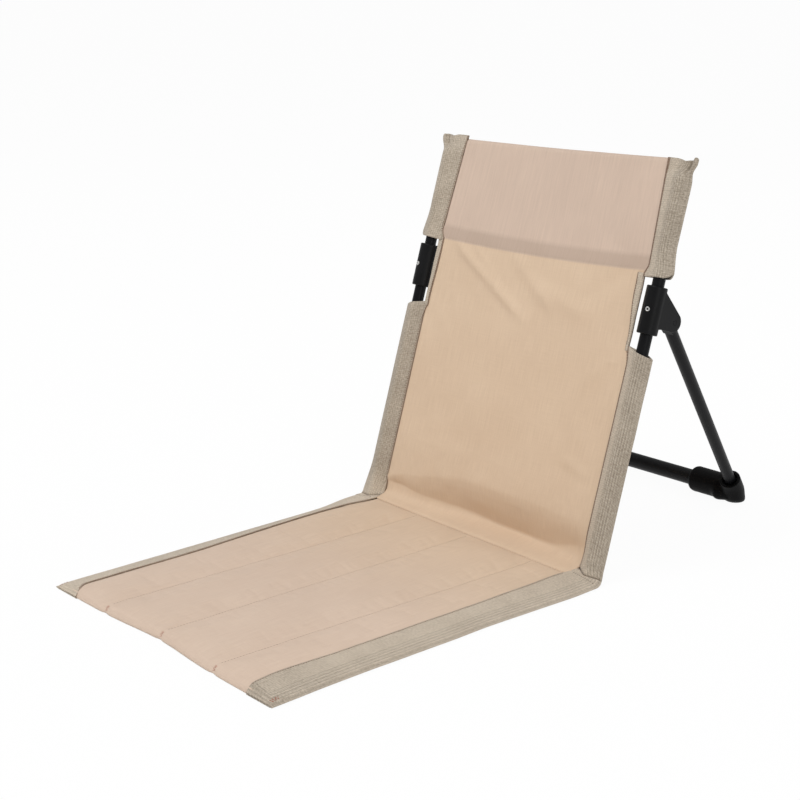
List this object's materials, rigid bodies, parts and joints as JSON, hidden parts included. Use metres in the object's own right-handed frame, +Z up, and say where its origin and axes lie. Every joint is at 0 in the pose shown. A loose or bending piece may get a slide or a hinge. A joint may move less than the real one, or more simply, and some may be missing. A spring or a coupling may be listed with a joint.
{
  "type": "folding floor chair",
  "caption": "Legless folding camping chair: quilted fabric seat on the ground, fabric back on tube uprights and a folding rear stand with a ground bar.",
  "frame": {"origin": "on the ground, at the middle of the chair's length and width as it stands open", "axes": "+Z up, -Y the way the chair faces, +X the sitter's left"},
  "size_m": [0.4, 0.792, 0.4458],
  "materials": {
    "cloth": "plain woven, matt tan",
    "webbing": "ribbed weave, matt khaki",
    "foam": "soft white foam",
    "tube": "satin black",
    "plastic": "matt black",
    "steel": "bright"
  },
  "bodies": {
    "seat": {"seat_cover": "cloth", "foam_strips": "foam", "base_cloth": "cloth", "left_seat_band": "webbing", "right_seat_band": "webbing", "front_hem": "cloth", "rear_flap": "cloth"},
    "back": {"left_upright_tube": "tube", "right_upright_tube": "tube", "upright_top_plugs": "plastic", "upright_bottom_plugs": "plastic", "left_hinge_sleeve": "plastic", "right_hinge_sleeve": "plastic", "sleeve_rivets": "steel", "hinge_pins": "steel", "left_upper_pocket": "webbing", "right_upper_pocket": "webbing", "left_lower_pocket": "webbing", "right_lower_pocket": "webbing", "back_panel": "cloth", "head_flap": "cloth", "left_notch_binding": "webbing", "right_notch_binding": "webbing"},
    "rear_stand": {"left_strut_tube": "tube", "right_strut_tube": "tube", "left_strut_knuckle": "plastic", "right_strut_knuckle": "plastic", "cross_bar": "tube", "left_foot_elbow": "plastic", "right_foot_elbow": "plastic"}
  },
  "joints": [
    {"name": "back_fold", "type": "hinge", "parent": "seat", "child": "back", "pos_m": [0, 0.04, 0.009], "axis": [1, 0, 0], "range_deg": [0, 106]},
    {"name": "stand_fold", "type": "hinge", "parent": "back", "child": "rear_stand", "pos_m": [0, 0.1642, 0.27184], "axis": [-1, 0, 0], "range_deg": [0, 56]}
  ]
}
